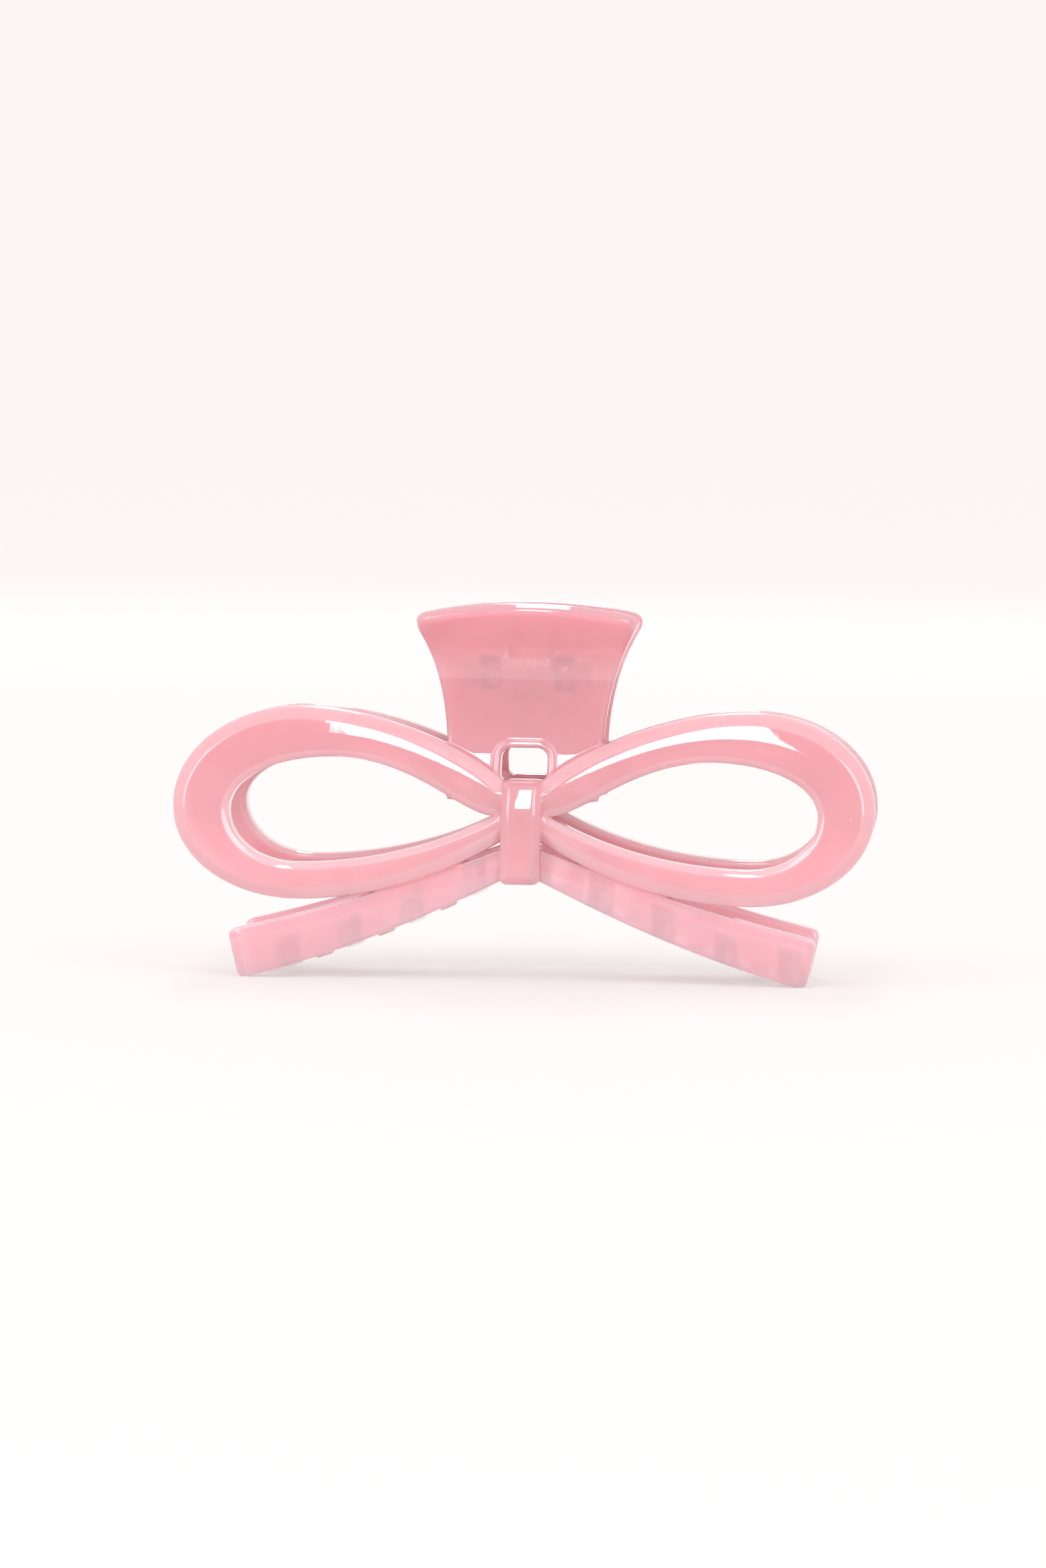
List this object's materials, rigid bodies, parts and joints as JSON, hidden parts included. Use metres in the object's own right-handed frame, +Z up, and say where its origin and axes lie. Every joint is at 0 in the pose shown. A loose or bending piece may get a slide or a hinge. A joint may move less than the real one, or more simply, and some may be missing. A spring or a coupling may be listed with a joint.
{
  "type": "claw clip",
  "caption": "Spring-hinged hair claw clip with two bow-shaped jaws, interlocking teeth and flared thumb tabs.",
  "frame": {"origin": "middle of the clip's box on the surface that its tail ends stand on", "axes": "+X along the bow, +Y from the front jaw to the rear jaw, +Z up to the thumb tabs"},
  "size_m": [0.105, 0.0278, 0.0568],
  "materials": {
    "pink_acrylic_front": "polished, slightly translucent milky pink",
    "pink_acrylic_rear": "polished, slightly translucent milky pink",
    "pin_steel": "drawn steel rod",
    "spring_steel": "drawn spring wire"
  },
  "bodies": {
    "front_body": {"front_jaw": "pink_acrylic_front", "hinge_pin": "pin_steel", "torsion_spring": "spring_steel"},
    "rear_body": {"rear_jaw": "pink_acrylic_rear"}
  },
  "joints": [
    {"name": "jaw_hinge", "type": "hinge", "parent": "front_body", "child": "rear_body", "pos_m": [0, 0, 0.046], "axis": [1, 0, 0], "range_deg": [0, 50], "stiffness_Nm_per_rad": 0.06, "springref_deg": -45.84, "deforming": ["torsion_spring"]}
  ]
}
